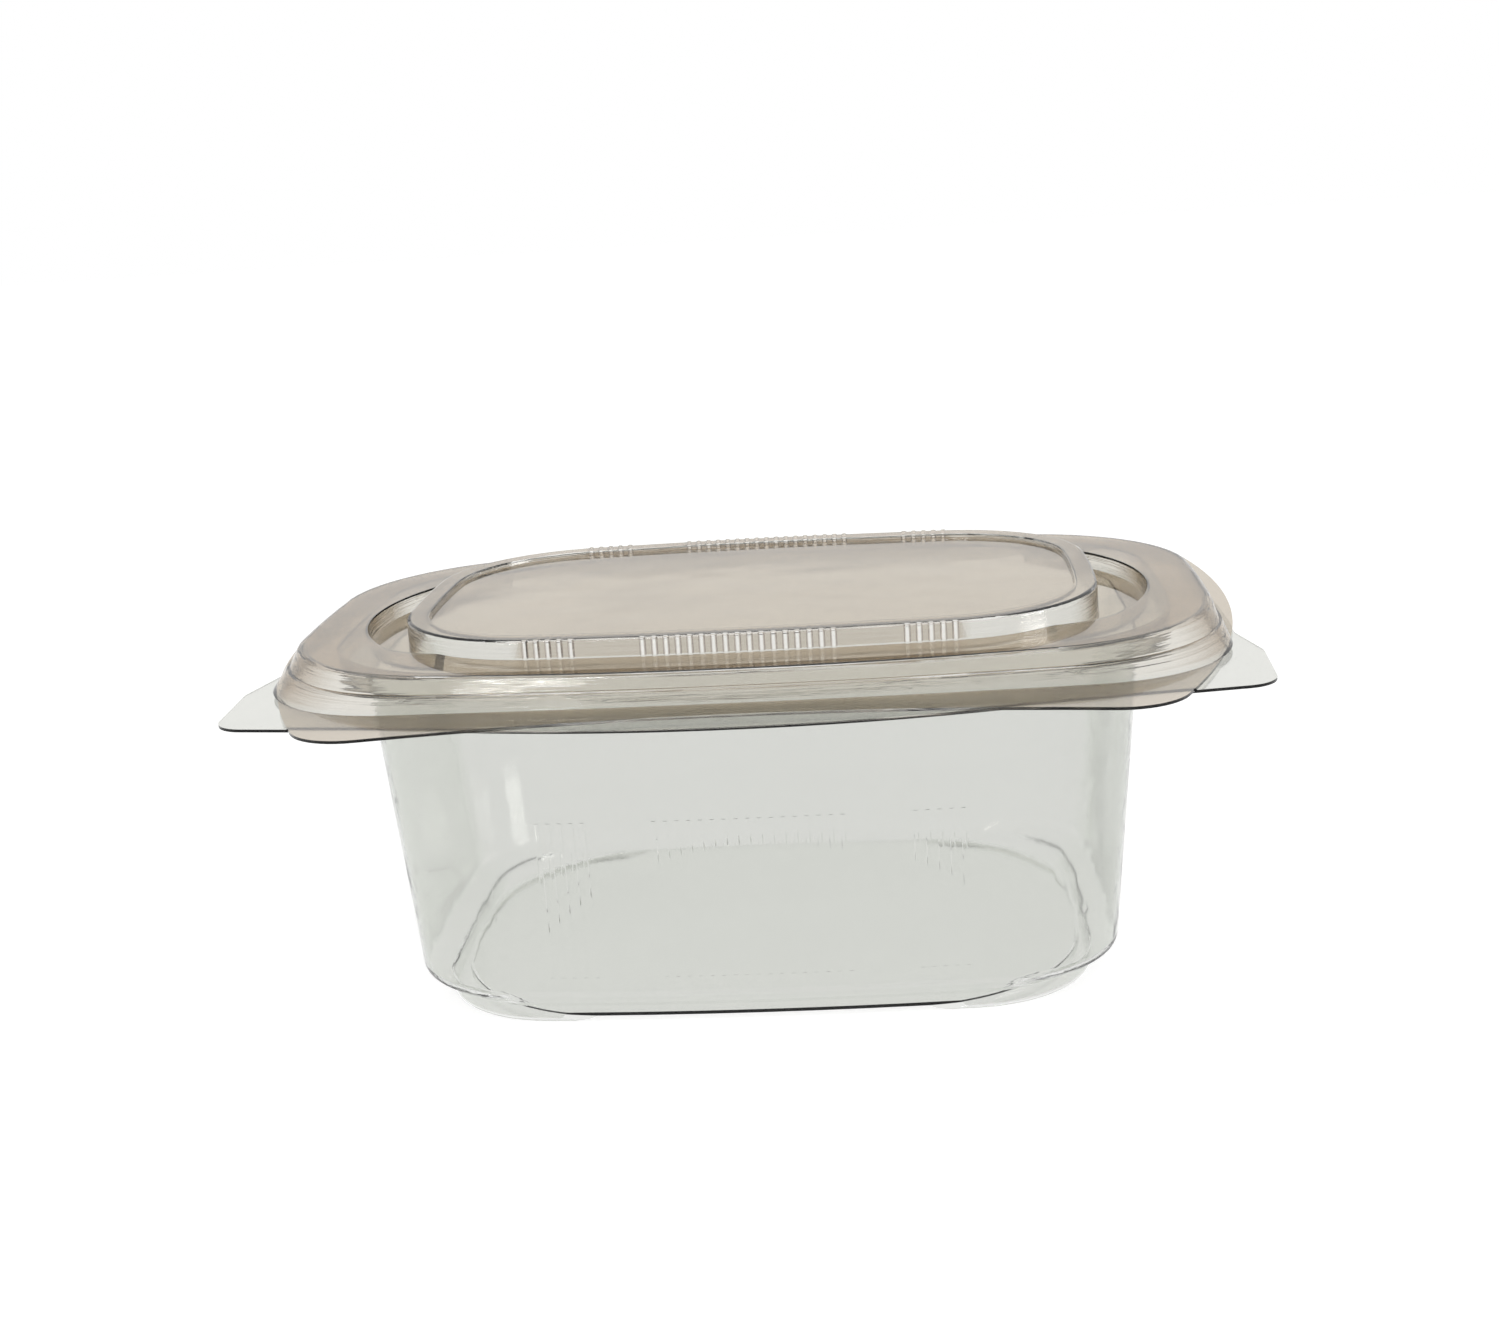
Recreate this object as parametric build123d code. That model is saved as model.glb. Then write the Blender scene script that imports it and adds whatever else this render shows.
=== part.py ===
from build123d import *
from collections import namedtuple
from math import atan, cos, pi, sin
import os

# Hinged clamshell pack, thermoformed from one clear sheet.
# The base is a drafted tub that stands on crescent feet under its corners, with a seating rim and a
# bowed flange that has two corner tabs. The lid has a raised ring that seats over the rim, end pockets
# and a ribbed plateau.
# The sheet folds along the back edge, so base and lid are two bodies that meet at the fold line.
# Millimetres. +Z is up, -Y is the opening side, and Z = 0 is the surface the feet stand on.

# Sheet and fits
SHEET = 0.5
FLANGE_GAP = 0.3
RIM_GAP = 0.4
FOLD_GAP = 0.1

# Heights
FLOOR_Z = 1.3
FOOT_Z = 3.3
SHOULDER_Z = 5.4
BASE_FLANGE_Z = 60.0
LID_FLANGE_Z = BASE_FLANGE_Z + FLANGE_GAP + SHEET
RING_STEP_Z = 63.2
RING_Z = 65.7
PLATEAU_Z = 69.0
PANEL_DEPTH = 0.8
POCKET_Z = 62.7
RIM_Z = RING_Z - SHEET - FLANGE_GAP

# A rounded outline: half sizes, corner radius, and how far the long and short sides bow out
Outline = namedtuple("Outline", "half_x half_y corner bow_y bow_x")

FOOT = Outline(59.6, 43.0, 22.0, 1.2, 0.6)
FLOOR = Outline(57.8, 43.7, 33.0, 1.0, 0.6)
TUB_LOW = Outline(64.0, 43.7, 20.0, 1.8, 0.6)
TUB_TOP = Outline(68.8, 47.0, 24.8, 1.8, 0.6)
RIM_MOUTH = Outline(74.2, 47.4, 29.0, 2.4, 0.4)
RING_TOP = Outline(82.0, 52.2, 35.0, 3.8, 0.3)
RING_STEP = Outline(82.5, 53.0, 31.0, 2.8, 0.4)
RING_FOOT = Outline(83.6, 55.0, 26.0, 1.6, 0.5)
POCKET = Outline(72.3, 33.5, 18.0, 0.4, 4.4)
PLATEAU = Outline(62.4, 41.2, 28.0, 1.4, 0.3)

# How much wider each form is at the open end of its draft
FOOT_DRAFT = 0.4
FLOOR_DRAFT = 0.3
MOUTH_DRAFT = 0.3
POCKET_DRAFT = 0.6
PLATEAU_DRAFT = 0.35
PANEL_DRAFT = 0.4

# Widths of the level bands: the ledge on the ring's wall, and the rim round the plateau's panel
RING_LEDGE = 0.45
PLATEAU_RIM = 3.7

# Rounds at the edges
SHOULDER_ROUND = 2.2
FOOT_ROUND = 1.0
RING_ROUND = 1.1
RIM_BEVEL = 0.6
PLATEAU_ROUND = 0.7

# Lid flange
LID_SIDE_X = 87.0
LID_CORNER = (67.5, 68.6)
LID_FRONT_Y = 61.4
LID_CORNER_R = 11.0

# Base flange, with its corner tabs
BASE_FRONT_Y = 65.9
BASE_WING = (46.0, 60.7)
BASE_WING_R = 60.0
BASE_SIDE_X = 84.4
BASE_SIDE_MID_Y = 12.0
TAB_TIP = (86.6, 54.4)
TAB_BULGE = (87.6, 33.5)
TAB_ROOT = (84.8, 21.0)
TAB_TIP_R = 6.0
TAB_BULGE_R = 8.0
TAB_ROOT_R = 10.0

# Back edge and fold
FOLD_Y = 61.0
BACK_CORNER_X = 79.0
BACK_CORNER_R = 20.0
FOLD_HALF_X = 56.0

# Lens-shaped flare of the tub's front wall, under the flange
FLARE_HALF_X = 41.0
FLARE_OUT = 2.2
FLARE_DROP = 8.5
FLARE_ROOT = 1.9
FLARE_BACK = 6.0

# Stiffening ribs, in groups along the long walls
RIB_PITCH = 2.0
RIB_W = 1.1
RIB_CREST_W = 0.55
RIB_BEND = 0.1
RIB_ROOT = 0.1
RIB_DEPTH = 0.3
LID_RIB_OUT = 0.35
TUB_RIB_OUT = 0.15
TUB_RIB_LOW_Z = 9.0
TUB_RIB_TOP_Z = 38.0
RIB_GROUPS = ((-32.2, 5), (0.0, 17), (32.2, 5))

# Cutting blocks run past the face that they open by this much
CLEAR = 1.0
# Edges are picked at a height within this much, and blocks overlap by it where they only touch
NEAR = 0.01


def grow(o, d):
    """The parallel outline at distance d outside, or inside when d is negative."""
    return Outline(o.half_x + d, o.half_y + d, o.corner + d, o.bow_y, o.bow_x)


def between(low, high, share):
    """The outline a given share of the way from low to high."""
    return Outline(*[a + (b - a) * share for a, b in zip(low, high)])


def face(o, z):
    """The outline as a face at height z: four bowed sides joined by tangent corner arcs."""
    inner_x = o.half_x - o.corner - o.bow_x
    inner_y = o.half_y - o.corner - o.bow_y
    long_turn = 2 * atan(o.bow_y / inner_x)
    short_turn = 2 * atan(o.bow_x / inner_y)

    def on_corner(angle):
        return inner_x + o.corner * sin(angle), inner_y + o.corner * cos(angle)

    first = on_corner(long_turn)
    middle = on_corner((long_turn + pi / 2 - short_turn) / 2)
    last = on_corner(pi / 2 - short_turn)
    arcs = []
    for sx, sy in ((1, 1), (-1, 1), (-1, -1), (1, -1)):
        points = [(sx * x, sy * y) for x, y in (first, middle, last)]
        arcs.append(ThreePointArc(*points))
    arcs.append(ThreePointArc((-first[0], first[1]), (0, o.half_y), first))
    arcs.append(ThreePointArc((-first[0], -first[1]), (0, -o.half_y), (first[0], -first[1])))
    arcs.append(ThreePointArc((last[0], -last[1]), (o.half_x, 0), last))
    arcs.append(ThreePointArc((-last[0], -last[1]), (-o.half_x, 0), (-last[0], last[1])))
    return Pos(0, 0, z) * make_face(arcs)


def wall_y(o, x):
    """How far out the bowed long side of an outline lies at a given x."""
    half = o.half_x - o.corner - o.bow_x
    chord_radius = (half**2 + o.bow_y**2) / (2 * o.bow_y)
    radius = chord_radius + o.corner
    return o.half_y - radius + (radius**2 - x**2) ** 0.5


def frustum(low, low_z, high, high_z):
    """A ruled solid between two outlines."""
    return loft([face(low, low_z), face(high, high_z)], ruled=True)


def loop_at(block, z):
    """The block's edge loop at height z."""
    return block.edges().filter_by_position(Axis.Z, z - NEAR, z + NEAR)


def rounded(block, z, radius):
    """The block with its edge loop at height z rounded."""
    return fillet(loop_at(block, z), radius)


def ring_block(inset, drop):
    """The raised ring as a full block: a flared skirt, a small ledge, then the upper wall."""
    step_z = RING_STEP_Z - drop
    skirt = frustum(grow(RING_FOOT, -inset), LID_FLANGE_Z - drop, grow(RING_STEP, RING_LEDGE - inset), step_z)
    crown = frustum(grow(RING_STEP, -inset), step_z, grow(RING_TOP, -inset), RING_Z - drop)
    return skirt, crown


def flange_plate(outline_face, top_z):
    """A flat flange, one sheet thick, with its upper side at top_z."""
    return extrude(Pos(0, 0, top_z - SHEET) * outline_face, SHEET)


def lid_flange_face():
    """The lid's flange: hollowed front edge, bowed sides and a straight back edge at the fold."""
    cx, cy = LID_CORNER
    front = ThreePointArc((-cx, -cy), (0, -LID_FRONT_Y), (cx, -cy))
    right = ThreePointArc((cx, -cy), (LID_SIDE_X, 0), (BACK_CORNER_X, FOLD_Y))
    back = Line((BACK_CORNER_X, FOLD_Y), (-BACK_CORNER_X, FOLD_Y))
    left = ThreePointArc((-BACK_CORNER_X, FOLD_Y), (-LID_SIDE_X, 0), (-cx, -cy))
    plan = make_face([front, right, back, left])
    plan = fillet(plan.vertices().group_by(Axis.Y)[0], LID_CORNER_R)
    return fillet(plan.vertices().group_by(Axis.Y)[-1], BACK_CORNER_R)


def base_flange_face():
    """The base's flange: front bowed out, and a tab at each front corner that clears the lid."""
    wing_x, wing_y = BASE_WING
    edges = [ThreePointArc((-wing_x, -wing_y), (0, -BASE_FRONT_Y), (wing_x, -wing_y))]
    for side in (1, -1):
        wing = (side * wing_x, -wing_y)
        tip = (side * TAB_TIP[0], -TAB_TIP[1])
        bulge = (side * TAB_BULGE[0], -TAB_BULGE[1])
        root = (side * TAB_ROOT[0], -TAB_ROOT[1])
        corner = (side * BACK_CORNER_X, FOLD_Y)
        edges += [Line(wing, tip), Line(tip, bulge), Line(bulge, root)]
        edges.append(ThreePointArc(root, (side * BASE_SIDE_X, BASE_SIDE_MID_Y), corner))
    edges.append(Line((BACK_CORNER_X, FOLD_Y), (-BACK_CORNER_X, FOLD_Y)))
    plan = make_face(edges)
    corners = ((BASE_WING, BASE_WING_R), (TAB_TIP, TAB_TIP_R), (TAB_BULGE, TAB_BULGE_R), (TAB_ROOT, TAB_ROOT_R))
    for (_, y), radius in corners:
        plan = fillet(plan.vertices().filter_by_position(Axis.Y, -y - NEAR, -y + NEAR), radius)
    return fillet(plan.vertices().group_by(Axis.Y)[-1], BACK_CORNER_R)


def fold_lip(side):
    """Half of the back fold: the sheet turns a quarter round towards the fold line."""
    outer = FLANGE_GAP / 2 + SHEET
    ring = Circle(outer) - Circle(outer - SHEET)
    window_h = outer - FOLD_GAP / 2
    window = Pos(outer / 2, side * (FOLD_GAP / 2 + window_h / 2)) * Rectangle(outer, window_h)
    profile = Plane.YZ * Pos(FOLD_Y, BASE_FLANGE_Z + FLANGE_GAP / 2) * (ring & window)
    return extrude(profile, FOLD_HALF_X, both=True)


def plateau_block(inset, drop, bottom_z):
    """The plateau as a full block, a little wider at the foot of its wall."""
    low = grow(PLATEAU, PLATEAU_DRAFT - inset)
    return frustum(low, bottom_z, grow(PLATEAU, -inset), PLATEAU_Z - drop)


def pocket_block(outset, drop):
    """The end pockets as one block, before the plateau is put back through its middle."""
    top = grow(POCKET, outset)
    return frustum(grow(top, -POCKET_DRAFT), POCKET_Z - drop, top, RING_Z + CLEAR)


def panel_block(outset, drop):
    """The sunken panel in the plateau's top."""
    top = grow(PLATEAU, outset - PLATEAU_RIM)
    return frustum(grow(top, -PANEL_DRAFT), PLATEAU_Z - PANEL_DEPTH - drop, top, PLATEAU_Z + CLEAR)


def rib_places():
    """The x of every rib, group by group."""
    for centre, count in RIB_GROUPS:
        for i in range(count):
            yield centre + (i - (count - 1) / 2) * RIB_PITCH


def rib(start, end, outward, out):
    """A bar with sloped flanks between two points on a surface, standing proud of it by out."""
    path = Vector(*end) - Vector(*start)
    plane = Plane(origin=start, x_dir=(1, 0, 0), z_dir=path)
    up = 1 if plane.y_dir.dot(Vector(*outward)) > 0 else -1
    half, crest = RIB_W / 2, RIB_CREST_W / 2
    depth, root, top = -RIB_DEPTH * up, -RIB_ROOT * up, out * up
    flank = [(half, depth), (half, root), (crest, top)]
    section = Polyline(*flank, *[(-x, y) for x, y in reversed(flank)], flank[0])
    return extrude(plane * make_face(section), path.length)


def lid_rib(x, side):
    """One rib of the lid: up the plateau's wall and over its rim."""
    edge_y = wall_y(PLATEAU, x)
    foot_z = RING_Z - RIB_DEPTH
    foot_y = edge_y + PLATEAU_DRAFT * (PLATEAU_Z - foot_z) / (PLATEAU_Z - LID_FLANGE_Z)
    foot = (x, side * foot_y, foot_z)
    wall_end = (x, side * edge_y, PLATEAU_Z - RIB_BEND)
    rim_start = (x, side * (edge_y - RIB_BEND), PLATEAU_Z)
    rim_end = (x, side * (edge_y - PLATEAU_RIM - CLEAR), PLATEAU_Z)
    wall = rib(foot, wall_end, (0, side, 0), LID_RIB_OUT)
    rim = rib(rim_start, rim_end, (0, 0, 1), LID_RIB_OUT)
    return [wall, rim]


def hinged_lid():
    skirt, crown = ring_block(0, 0)
    ring = skirt + rounded(crown, RING_Z, RING_ROUND) - pocket_block(0, 0)
    plateau = rounded(plateau_block(0, 0, LID_FLANGE_Z), PLATEAU_Z, PLATEAU_ROUND)
    for side in (1, -1):
        plateau += [bar for x in rib_places() for bar in lid_rib(x, side)]
    outer = ring + plateau - panel_block(0, 0)
    flange = flange_plate(lid_flange_face(), LID_FLANGE_Z) + fold_lip(1)
    skirt_in, crown_in = ring_block(SHEET, SHEET)
    crown_in = rounded(crown_in, RING_Z - SHEET, RING_ROUND - SHEET)
    inner = skirt_in + crown_in - pocket_block(SHEET, SHEET)
    inner += plateau_block(SHEET, SHEET, LID_FLANGE_Z - SHEET)
    inner -= panel_block(SHEET, SHEET)
    return outer + flange - inner


def tub_block(inset, top_z):
    """The tub as a full block: a ledge sloping up from the feet, then the drafted wall."""
    foot = grow(FOOT, -inset)
    low = grow(TUB_LOW, -inset)
    ledge = frustum(foot, FOOT_Z + inset, low, SHOULDER_Z + inset)
    wall = frustum(low, SHOULDER_Z + inset, grow(TUB_TOP, -inset), top_z)
    return rounded(ledge + wall, SHOULDER_Z + inset, SHOULDER_ROUND - inset)


def foot_block(inset):
    """The block under the tub, which the raised floor leaves standing as feet at the corners."""
    foot = grow(FOOT, -inset)
    block = frustum(grow(foot, -FOOT_DRAFT), inset, foot, FOOT_Z + inset + NEAR)
    return rounded(block, inset, FOOT_ROUND - inset)


def floor_block(outset):
    """The block that raises the oblong floor off the surface."""
    low = grow(FLOOR, outset)
    return frustum(low, -CLEAR, grow(low, -FLOOR_DRAFT), FLOOR_Z + outset)


def tub_ribs():
    """Shallow ribs low on the tub's front and back walls, drafted with them."""
    bars = []
    for x in rib_places():
        for side in (1, -1):
            ends = []
            for z in (TUB_RIB_LOW_Z, TUB_RIB_TOP_Z):
                share = (z - SHOULDER_Z) / (BASE_FLANGE_Z - SHOULDER_Z)
                ends.append((x, side * wall_y(between(TUB_LOW, TUB_TOP, share), x), z))
            bars.append(rib(ends[0], ends[1], (0, side, 0), TUB_RIB_OUT))
    return bars


def flare(inset):
    """The flare as a block that runs down and back until it is lost in the tub's drafted wall."""
    wall = wall_y(TUB_TOP, 0)
    tub_slope = (wall - wall_y(TUB_LOW, 0)) / (BASE_FLANGE_Z - SHOULDER_Z)
    slope = FLARE_OUT / FLARE_DROP + tub_slope
    left, right = (-FLARE_HALF_X, FLARE_ROOT - wall), (FLARE_HALF_X, FLARE_ROOT - wall)
    front = ThreePointArc(left, (0, -wall - FLARE_OUT), right)
    back = Polyline(right, (FLARE_HALF_X, FLARE_BACK - wall), (-FLARE_HALF_X, FLARE_BACK - wall), left)
    lens = Pos(0, inset * (1 + slope), BASE_FLANGE_Z - inset) * make_face([front, back])
    return extrude(lens, FLARE_DROP + CLEAR, dir=(0, slope, -1))


def seating_rim():
    """The rim that the lid seats over: an outer wall, a bevelled top and the wall of the mouth."""
    drop = SHEET + FLANGE_GAP
    inset = SHEET + RIM_GAP
    skirt, crown = ring_block(inset, drop)
    crown = chamfer(loop_at(crown, RIM_Z), RIM_BEVEL)
    skirt_in, crown_in = ring_block(inset + SHEET, drop + SHEET)
    low = grow(RIM_MOUTH, -MOUTH_DRAFT)
    mouth = frustum(low, BASE_FLANGE_Z, RIM_MOUTH, RIM_Z + NEAR)
    mouth_wall = frustum(grow(low, SHEET), BASE_FLANGE_Z - CLEAR, grow(RIM_MOUTH, SHEET), RIM_Z + NEAR)
    return skirt + crown, skirt_in + crown_in - mouth_wall, mouth


def base_tray():
    rim, rim_in, mouth = seating_rim()
    plate = flange_plate(base_flange_face(), BASE_FLANGE_Z) + fold_lip(-1)
    shell = plate + rim - rim_in - mouth
    shell += [tub_block(0, BASE_FLANGE_Z), foot_block(0), flare(0), *tub_ribs()]
    inside = tub_block(SHEET, BASE_FLANGE_Z + NEAR) + foot_block(SHEET) - floor_block(SHEET)
    return shell - floor_block(0) - (inside + flare(SHEET))


os.makedirs("parts", exist_ok=True)
nodes = {"base_tray": base_tray(), "hinged_lid": hinged_lid()}

# The origin goes under the middle of the closed pack, fold included
spans = [shape.bounding_box() for shape in nodes.values()]
front_y = min(span.min.Y for span in spans)
back_y = max(span.max.Y for span in spans)
shift_y = -(front_y + back_y) / 2
print("shift along Y", round(shift_y, 4))

for name, shape in nodes.items():
    placed = Pos(0, shift_y, 0) * shape
    export_step(placed, f"parts/{name}.step")
    print(name, len(placed.solids()), "solid,", round(placed.volume), "cubic mm")
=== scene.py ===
"""A clear hinged clamshell pack on a white ground, seen as in the photograph. Metres throughout."""
from math import cos, radians, sin

import bpy
from mathutils import Matrix, Vector


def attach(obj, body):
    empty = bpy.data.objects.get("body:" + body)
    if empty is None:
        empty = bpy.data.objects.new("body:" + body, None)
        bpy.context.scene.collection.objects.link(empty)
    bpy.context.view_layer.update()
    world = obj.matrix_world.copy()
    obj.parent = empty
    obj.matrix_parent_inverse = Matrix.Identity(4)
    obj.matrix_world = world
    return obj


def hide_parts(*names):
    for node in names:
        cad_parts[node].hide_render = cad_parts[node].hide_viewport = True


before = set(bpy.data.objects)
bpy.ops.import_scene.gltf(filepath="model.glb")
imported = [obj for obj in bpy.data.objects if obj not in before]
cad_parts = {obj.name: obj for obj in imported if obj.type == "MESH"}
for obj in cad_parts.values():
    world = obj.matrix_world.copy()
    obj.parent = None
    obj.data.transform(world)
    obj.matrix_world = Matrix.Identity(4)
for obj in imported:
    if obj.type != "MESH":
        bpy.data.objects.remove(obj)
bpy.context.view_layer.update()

# The photograph's camera, solved from the pack's outlines
PHOTO_W = 1499
FOCAL_PX = 2000
SENSOR_MM = 36.0
CAMERA_AT = Vector((0.0290, -0.3606, 0.1469))
CAMERA_YAW = radians(4.84)
CAMERA_PITCH = radians(14.5)
CAMERA_ROLL = radians(3.82)

# The white that eye, mirror and glass see behind the pack, and the room that lights the floor
WHITE = (1.0, 1.0, 1.0, 1.0)
ROOM = (0.90, 0.90, 0.88, 1.0)
ROOM_LEVEL = 0.75
FLOOR_GLOW = 0.8
FLOOR_COLOR = (0.4, 0.4, 0.4, 1.0)
FLOOR_HALF = 3.0

# The sheet's tints square on and at a slant, the slants they change between, and where the lid's begin.
# The lid's warm, dark tint at a slant is partly the sheet's own darkening along a longer path and partly a
# painted reflection of a warm room
TUB_FACING = (0.815, 0.82, 0.80, 1.0)
TUB_GRAZING = (0.74, 0.765, 0.71, 1.0)
LID_FACING = (0.86, 0.845, 0.81, 1.0)
LID_GRAZING_WITH_PAINTED_REFLECTION = (0.37, 0.28, 0.18, 1.0)
SHEET_SLANT = (0.45, 0.75)
LID_FOOT_Z = (0.0598, 0.0608)

# Painted shade on the plateau's ribbed walls, a painted highlight on the ribs' crests and painted shade on
# their flanks there
RIBBED_WALL_PAINTED_SHADE = (0.66, 0.61, 0.54, 1.0)
CREST_PAINTED_HIGHLIGHT = (1.0, 0.98, 0.96, 1.0)
FLANK_PAINTED_SHADE = (0.30, 0.25, 0.22, 1.0)

# The sheet's gloss, and the noises in it as repeats per metre: haze, waves and the lid's draw lines
SHEET_IOR = 1.38
SHEET_ROUGHNESS = (0.03, 0.09)
HAZE_SCALE = (30.0, 30.0, 30.0)
HAZE_REACH = (0.35, 0.7)
WAVE_SCALE = (38.0, 38.0, 38.0)
DRAW_LINE_SCALE = (30.0, 30.0, 1700.0)
DRAW_LINE_HEIGHT = 1.3
BUMP_STRENGTH = 0.12
BUMP_DISTANCE = 0.001

# The plateau's rim, and how much of their height the rib ends keep where they cross it
RIM_TOP = 0.069
RIM_RIB_SHARE = 0.25

# The ribs on the long walls, from the part: pitch, group edge, the groups' places and half widths
RIB_PITCH = 0.002
RIB_INNER_EDGE = 0.020
RIB_OUTER_MIDDLE = 0.0322
RIB_OUTER_HALF = 0.0047
RIB_INNER_HALF = 0.0167
RIB_FIELD_X = 0.037
RIB_WALL_Z = (0.0659, 0.0689)
TUB_RIB_Z = (0.0085, 0.0385)
PACK_MIDDLE_Y = 0.002756
PLATEAU_WALL_Y = 0.0391
# How far from a rib's middle its crest ends, and its flank begins and ends
CREST_EDGE = (0.00022, 0.00032)
FLANK_START = (0.0003, 0.0004)
FLANK_END = (0.0005, 0.0006)
# Where the front half of the tub passes to the back
TUB_HALVES_Y = (-0.01, 0.01)
# How strongly each field's rib flanks bend light, as a share of their own slope
WALL_RIB_POWER = 2.5
RIM_RIB_POWER = 0.2
TUB_FRONT_RIB_POWER = 0.8
TUB_BACK_RIB_POWER = 0.08


class Nodes:
    """Short ways to add and link the nodes of one tree."""

    def __init__(self, tree):
        self.tree = tree

    def feed(self, socket, value):
        if isinstance(value, (int, float, tuple)):
            socket.default_value = value
        else:
            self.tree.links.new(value, socket)

    def math(self, operation, *values):
        node = self.tree.nodes.new("ShaderNodeMath")
        node.operation = operation
        for socket, value in zip(node.inputs, values):
            self.feed(socket, value)
        return node.outputs[0]

    def mapped(self, value, from_low, from_high, to_low, to_high):
        """The value carried from one range to another, and held at its ends."""
        node = self.tree.nodes.new("ShaderNodeMapRange")
        self.feed(node.inputs["From Min"], from_low)
        self.feed(node.inputs["From Max"], from_high)
        self.feed(node.inputs["To Min"], to_low)
        self.feed(node.inputs["To Max"], to_high)
        self.feed(node.inputs["Value"], value)
        return node.outputs["Result"]

    def split(self, vector):
        """The three parts of a vector."""
        node = self.tree.nodes.new("ShaderNodeSeparateXYZ")
        self.feed(node.inputs[0], vector)
        return node.outputs

    def turned(self, normal, before, after):
        """A normal carried from one space to another."""
        node = self.tree.nodes.new("ShaderNodeVectorTransform")
        node.vector_type = "NORMAL"
        node.convert_from = before
        node.convert_to = after
        self.feed(node.inputs[0], normal)
        return node.outputs[0]

    def mix(self, share, first, second):
        """One colour turning into another."""
        node = self.tree.nodes.new("ShaderNodeMix")
        node.data_type = "RGBA"
        self.feed(node.inputs["Factor"], share)
        self.feed(node.inputs[6], first)
        self.feed(node.inputs[7], second)
        return node.outputs[2]

    def noise(self, coords, scale, detail):
        """Smooth noise over the object, with scale as repeats per metre along each axis."""
        stretch = self.tree.nodes.new("ShaderNodeMapping")
        stretch.inputs["Scale"].default_value = scale
        self.feed(stretch.inputs["Vector"], coords)
        node = self.tree.nodes.new("ShaderNodeTexNoise")
        node.inputs["Scale"].default_value = 1.0
        node.inputs["Detail"].default_value = detail
        self.feed(node.inputs["Vector"], stretch.outputs["Vector"])
        return node.outputs["Fac"]


def new_material(name):
    """An empty node material, its tree and its output node."""
    material = bpy.data.materials.new(name)
    material.use_nodes = True
    tree = material.node_tree
    tree.nodes.clear()
    return material, tree, tree.nodes.new("ShaderNodeOutputMaterial")


class Place:
    """Where a shaded point lies on the pack, and masks of the rib fields."""

    def __init__(self, nodes):
        self.nodes = nodes
        self.coords = nodes.tree.nodes.new("ShaderNodeTexCoord").outputs["Object"]
        self.x, self.y, self.z = nodes.split(self.coords)
        self.reach = nodes.math("ABSOLUTE", nodes.math("SUBTRACT", self.y, PACK_MIDDLE_Y))
        self.far = nodes.math("ABSOLUTE", self.x)

    def band(self, low, high):
        """1 between two heights, else 0."""
        above = self.nodes.math("GREATER_THAN", self.z, low)
        return self.nodes.math("MULTIPLY", above, self.nodes.math("LESS_THAN", self.z, high))

    def plateau_wall(self):
        """1 on the plateau's long walls, else 0."""
        beyond = self.nodes.math("GREATER_THAN", self.reach, PLATEAU_WALL_Y)
        return self.nodes.math("MULTIPLY", self.band(*RIB_WALL_Z), beyond)

    def ribbed_wall(self):
        """1 on the plateau's long walls between their outermost ribs, fading past them: where painted
        shade goes.
        """
        inside = self.nodes.mapped(self.far, RIB_FIELD_X, RIB_FIELD_X + RIB_PITCH, 1.0, 0.0)
        return self.nodes.math("MULTIPLY", self.plateau_wall(), inside)

    def rib_lines(self):
        """Crest and flank masks of the ribs on the plateau's long walls, for a painted highlight on the
        crests and painted shade on the flanks.
        """
        nodes = self.nodes
        outer = nodes.math("GREATER_THAN", self.far, RIB_INNER_EDGE)
        along = nodes.math("SUBTRACT", self.far, nodes.math("MULTIPLY", outer, RIB_OUTER_MIDDLE))
        along = nodes.math("ABSOLUTE", along)
        half = nodes.mapped(outer, 0.0, 1.0, RIB_INNER_HALF, RIB_OUTER_HALF)
        zone = nodes.math("MULTIPLY", nodes.math("LESS_THAN", along, half), self.plateau_wall())
        off = nodes.math("PINGPONG", along, RIB_PITCH / 2)
        crest = nodes.math("MULTIPLY", zone, nodes.mapped(off, *CREST_EDGE, 1.0, 0.0))
        flank = nodes.math("MULTIPLY", zone, nodes.mapped(off, *FLANK_START, 0.0, 1.0))
        return crest, nodes.math("MULTIPLY", flank, nodes.mapped(off, *FLANK_END, 1.0, 0.0))

    def rib_power(self):
        """How strongly the flanks bend light here: 1 away from the rib fields."""
        nodes = self.nodes
        tub = nodes.mapped(self.y, *TUB_HALVES_Y, TUB_FRONT_RIB_POWER, TUB_BACK_RIB_POWER)
        power = nodes.mapped(self.band(*TUB_RIB_Z), 0.0, 1.0, 1.0, tub)
        wall = nodes.mapped(self.plateau_wall(), 0.0, 1.0, 1.0, WALL_RIB_POWER)
        power = nodes.math("MULTIPLY", power, wall)
        above_wall = nodes.math("GREATER_THAN", self.z, RIB_WALL_Z[1])
        rim = nodes.mapped(above_wall, 0.0, 1.0, 1.0, RIM_RIB_POWER)
        power = nodes.math("MULTIPLY", power, rim)
        field = nodes.math("LESS_THAN", self.far, RIB_FIELD_X)
        return nodes.mapped(field, 0.0, 1.0, 1.0, power)


def formed_normal(nodes, place):
    """The surface normal with the rib flanks' slope along X made softer or crisper by field."""
    tree = nodes.tree
    local = nodes.turned(tree.nodes.new("ShaderNodeNewGeometry").outputs["Normal"], "WORLD", "OBJECT")
    x, y, z = nodes.split(local)
    joined = tree.nodes.new("ShaderNodeCombineXYZ")
    for socket, value in zip(joined.inputs, (nodes.math("MULTIPLY", x, place.rib_power()), y, z)):
        tree.links.new(value, socket)
    length = tree.nodes.new("ShaderNodeVectorMath")
    length.operation = "NORMALIZE"
    tree.links.new(nodes.turned(joined.outputs[0], "OBJECT", "WORLD"), length.inputs[0])
    return length.outputs[0]


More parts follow.
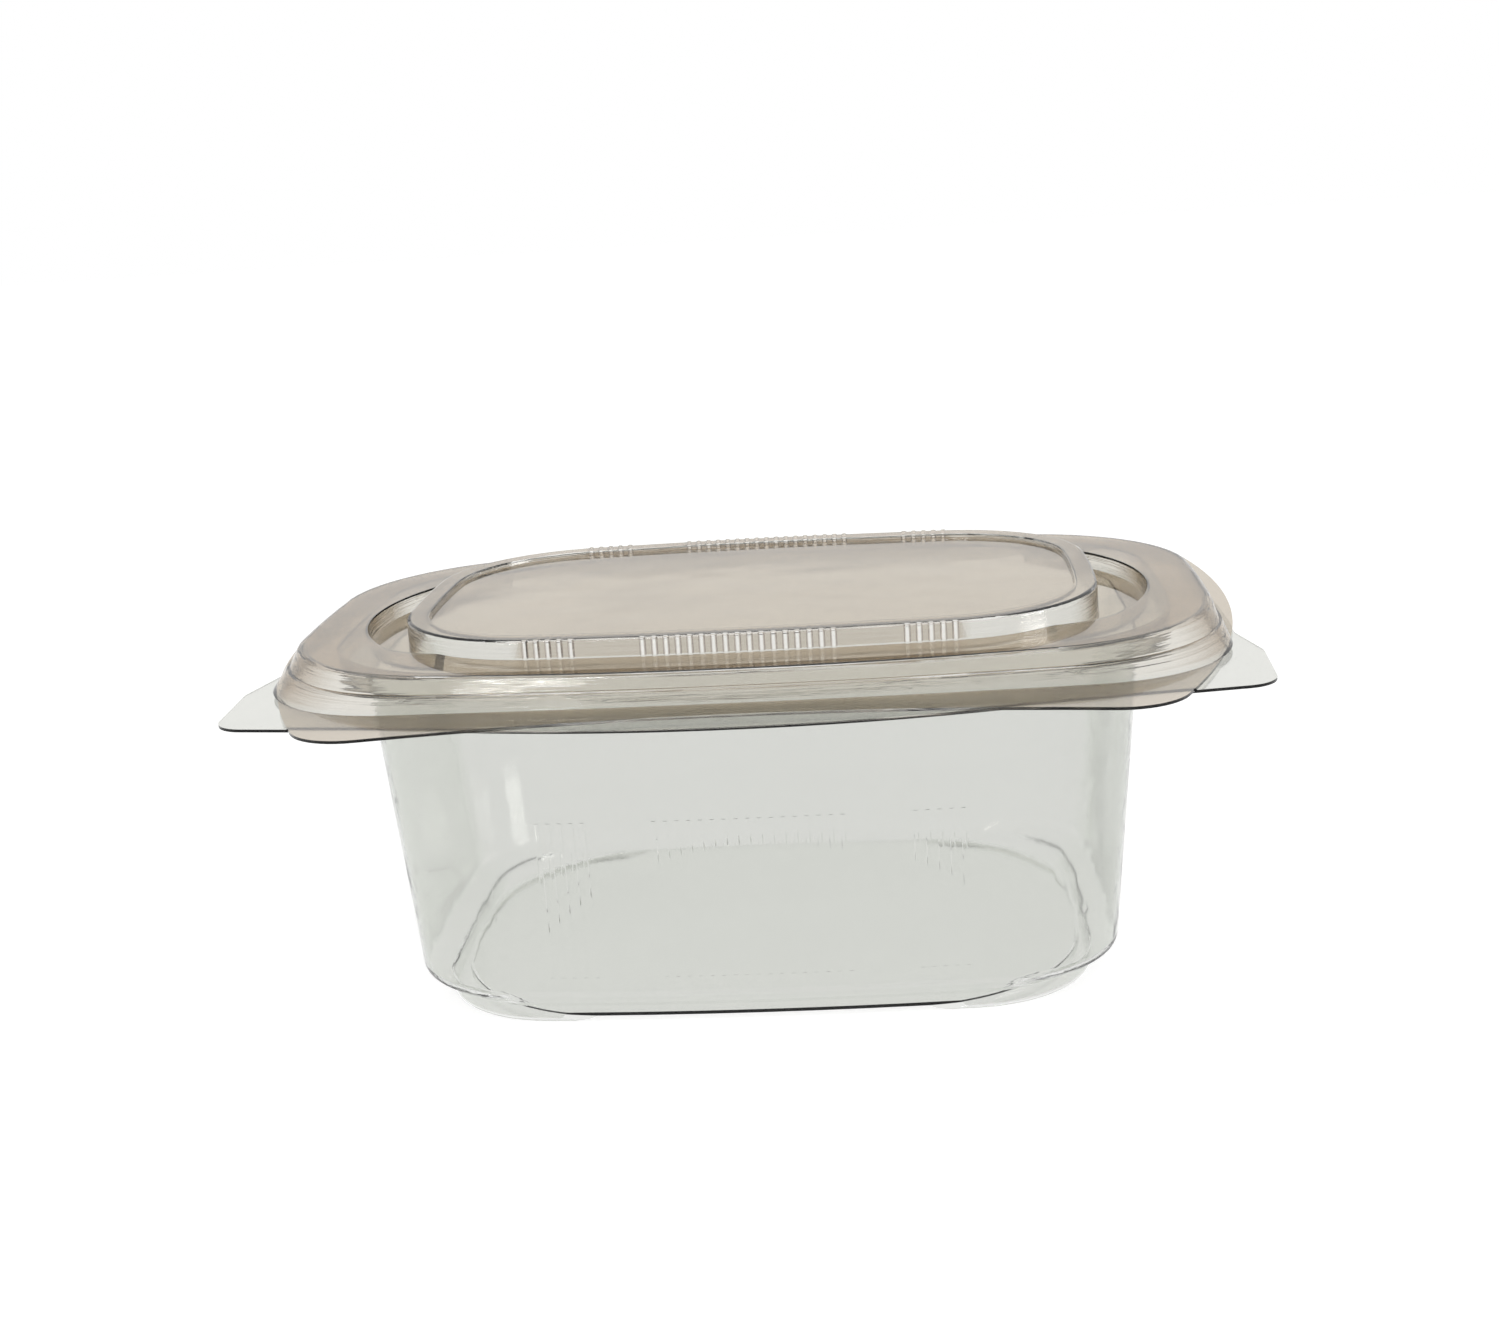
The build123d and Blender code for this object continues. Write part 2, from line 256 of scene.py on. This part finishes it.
def clear_sheet():
    """Clear formed plastic: faint tints, the lid's warm slant tint partly a painted reflection, haze and
    waves, draw lines on the lid, crisp or soft ribs, and painted shade and highlights on the plateau's
    ribbed walls.
    """
    material, tree, output = new_material("clear_sheet")
    nodes = Nodes(tree)
    place = Place(nodes)
    shader = tree.nodes.new("ShaderNodeBsdfPrincipled")
    weight = tree.nodes.new("ShaderNodeLayerWeight")
    weight.inputs["Blend"].default_value = 0.5
    slant = nodes.mapped(weight.outputs["Facing"], *SHEET_SLANT, 0.0, 1.0)
    on_lid = nodes.mapped(place.z, *LID_FOOT_Z, 0.0, 1.0)
    tub_tint = nodes.mix(slant, TUB_FACING, TUB_GRAZING)
    # The lid's tint at a slant: partly the sheet's own darker tint, partly a painted reflection of a warm
    # room
    tint = nodes.mix(on_lid, tub_tint, nodes.mix(slant, LID_FACING, LID_GRAZING_WITH_PAINTED_REFLECTION))
    # Painted shade over the plateau's ribbed walls
    tint = nodes.mix(place.ribbed_wall(), tint, RIBBED_WALL_PAINTED_SHADE)
    # A painted highlight on the rib crests and painted shade on their flanks
    crest, flank = place.rib_lines()
    tint = nodes.mix(crest, tint, CREST_PAINTED_HIGHLIGHT)
    tint = nodes.mix(flank, tint, FLANK_PAINTED_SHADE)
    tree.links.new(tint, shader.inputs["Base Color"])
    clouds = nodes.noise(place.coords, HAZE_SCALE, 3.0)
    haze = nodes.mapped(clouds, *HAZE_REACH, *SHEET_ROUGHNESS)
    tree.links.new(haze, shader.inputs["Roughness"])
    waves = nodes.noise(place.coords, WAVE_SCALE, 1.5)
    draw = nodes.noise(place.coords, DRAW_LINE_SCALE, 2.0)
    drawn = nodes.math("MULTIPLY", on_lid, DRAW_LINE_HEIGHT)
    height = nodes.math("ADD", waves, nodes.math("MULTIPLY", draw, drawn))
    bump = tree.nodes.new("ShaderNodeBump")
    bump.inputs["Strength"].default_value = BUMP_STRENGTH
    bump.inputs["Distance"].default_value = BUMP_DISTANCE
    tree.links.new(height, bump.inputs["Height"])
    tree.links.new(formed_normal(nodes, place), bump.inputs["Normal"])
    tree.links.new(bump.outputs["Normal"], shader.inputs["Normal"])
    shader.inputs["IOR"].default_value = SHEET_IOR
    shader.inputs["Transmission Weight"].default_value = 1.0
    tree.links.new(shader.outputs["BSDF"], output.inputs["Surface"])
    return material


def mix_shaders(tree, share, first, second):
    """One shader where share is 0, the other where it is 1."""
    node = tree.nodes.new("ShaderNodeMixShader")
    for socket, value in zip(node.inputs, (share, first, second)):
        tree.links.new(value, socket)
    return node.outputs[0]


def plain(tree, kind, color, strength):
    """A background or emission shader of one colour."""
    node = tree.nodes.new(kind)
    node.inputs["Color"].default_value = color
    node.inputs["Strength"].default_value = strength
    return node.outputs[0]


def clear_rays(nodes, path):
    """1 for rays that come by mirror or through glass, else 0."""
    return nodes.math("MAXIMUM", path.outputs["Is Glossy Ray"], path.outputs["Is Transmission Ray"])


def build_world():
    """White to the eye, in mirrors and through glass; to soft rays a pale room."""
    world = bpy.data.worlds.new("room")
    bpy.context.scene.world = world
    world.use_nodes = True
    tree = world.node_tree
    tree.nodes.clear()
    nodes = Nodes(tree)
    output = tree.nodes.new("ShaderNodeOutputWorld")
    path = tree.nodes.new("ShaderNodeLightPath")
    seen = nodes.math("MAXIMUM", path.outputs["Is Camera Ray"], clear_rays(nodes, path))
    room = plain(tree, "ShaderNodeBackground", ROOM, ROOM_LEVEL)
    white = plain(tree, "ShaderNodeBackground", WHITE, 1.0)
    tree.links.new(mix_shaders(tree, seen, room, white), output.inputs["Surface"])


def area_lamp(name, at, target, size, power):
    """A soft rectangular lamp aimed at a point."""
    light = bpy.data.lights.new(name, "AREA")
    light.shape = "RECTANGLE"
    light.size, light.size_y = size
    light.energy = power
    lamp = bpy.data.objects.new(name, light)
    bpy.context.scene.collection.objects.link(lamp)
    lamp.location = at
    lamp.rotation_euler = (Vector(target) - Vector(at)).to_track_quat("-Z", "Y").to_euler()


def build_floor():
    """A floor that glows white to the eye, with a soft shadow, and is plain white in glass and mirror."""
    mesh = bpy.data.meshes.new("floor")
    half = FLOOR_HALF
    corners = [(-half, -half, 0), (half, -half, 0), (half, half, 0), (-half, half, 0)]
    mesh.from_pydata(corners, [], [(0, 1, 2, 3)])
    floor = bpy.data.objects.new("floor", mesh)
    bpy.context.scene.collection.objects.link(floor)
    material, tree, output = new_material("floor_white")
    nodes = Nodes(tree)
    soft = tree.nodes.new("ShaderNodeBsdfDiffuse")
    soft.inputs["Color"].default_value = FLOOR_COLOR
    glow = plain(tree, "ShaderNodeEmission", WHITE, FLOOR_GLOW)
    both = tree.nodes.new("ShaderNodeAddShader")
    tree.links.new(glow, both.inputs[0])
    tree.links.new(soft.outputs[0], both.inputs[1])
    path = tree.nodes.new("ShaderNodeLightPath")
    white = plain(tree, "ShaderNodeEmission", WHITE, 1.0)
    seen = mix_shaders(tree, path.outputs["Is Camera Ray"], soft.outputs[0], both.outputs[0])
    tree.links.new(mix_shaders(tree, clear_rays(nodes, path), seen, white), output.inputs["Surface"])
    mesh.materials.append(material)


def build_camera():
    """The camera, aimed by yaw and pitch and then rolled about its own line of sight."""
    data = bpy.data.cameras.new("photo_camera")
    data.sensor_width = SENSOR_MM
    data.lens = SENSOR_MM * FOCAL_PX / PHOTO_W
    camera = bpy.data.objects.new("photo_camera", data)
    bpy.context.scene.collection.objects.link(camera)
    level_reach = cos(CAMERA_PITCH)
    forward = Vector((-sin(CAMERA_YAW) * level_reach, cos(CAMERA_YAW) * level_reach, -sin(CAMERA_PITCH)))
    level_right = Vector((cos(CAMERA_YAW), sin(CAMERA_YAW), 0))
    level_down = forward.cross(level_right)
    right = cos(CAMERA_ROLL) * level_right + sin(CAMERA_ROLL) * level_down
    up = -(cos(CAMERA_ROLL) * level_down - sin(CAMERA_ROLL) * level_right)
    axes = Matrix((right, up, -forward)).transposed().to_4x4()
    camera.matrix_world = Matrix.Translation(CAMERA_AT) @ axes
    bpy.context.scene.camera = camera


def build_lights():
    """Two small lamps, for the highlights on the ring and in the tub's corner."""
    area_lamp("window", (0.93, -0.36, 0.26), (-0.02, 0, 0.05), (0.36, 0.32), 3.6)
    area_lamp("side_window", (-0.40, -0.72, 0.90), (-0.03, -0.05, 0.06), (0.22, 0.12), 1.6)


def formed_lid(node):
    """The lid with its rib ends laid flatter where they cross the plateau's rim."""
    mesh = node.data.copy()
    for vertex in mesh.vertices:
        if vertex.co.z > RIM_TOP:
            vertex.co.z = RIM_TOP + RIM_RIB_SHARE * (vertex.co.z - RIM_TOP)
    lid = bpy.data.objects.new("formed_lid", mesh)
    bpy.context.scene.collection.objects.link(lid)
    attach(lid, "lid")
    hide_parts("hinged_lid")
    return lid


sheet = clear_sheet()
for piece in (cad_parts["base_tray"], formed_lid(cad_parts["hinged_lid"])):
    for slot in piece.material_slots:
        slot.material = sheet
build_world()
build_floor()
build_lights()
build_camera()
bpy.context.scene.view_settings.view_transform = "Standard"
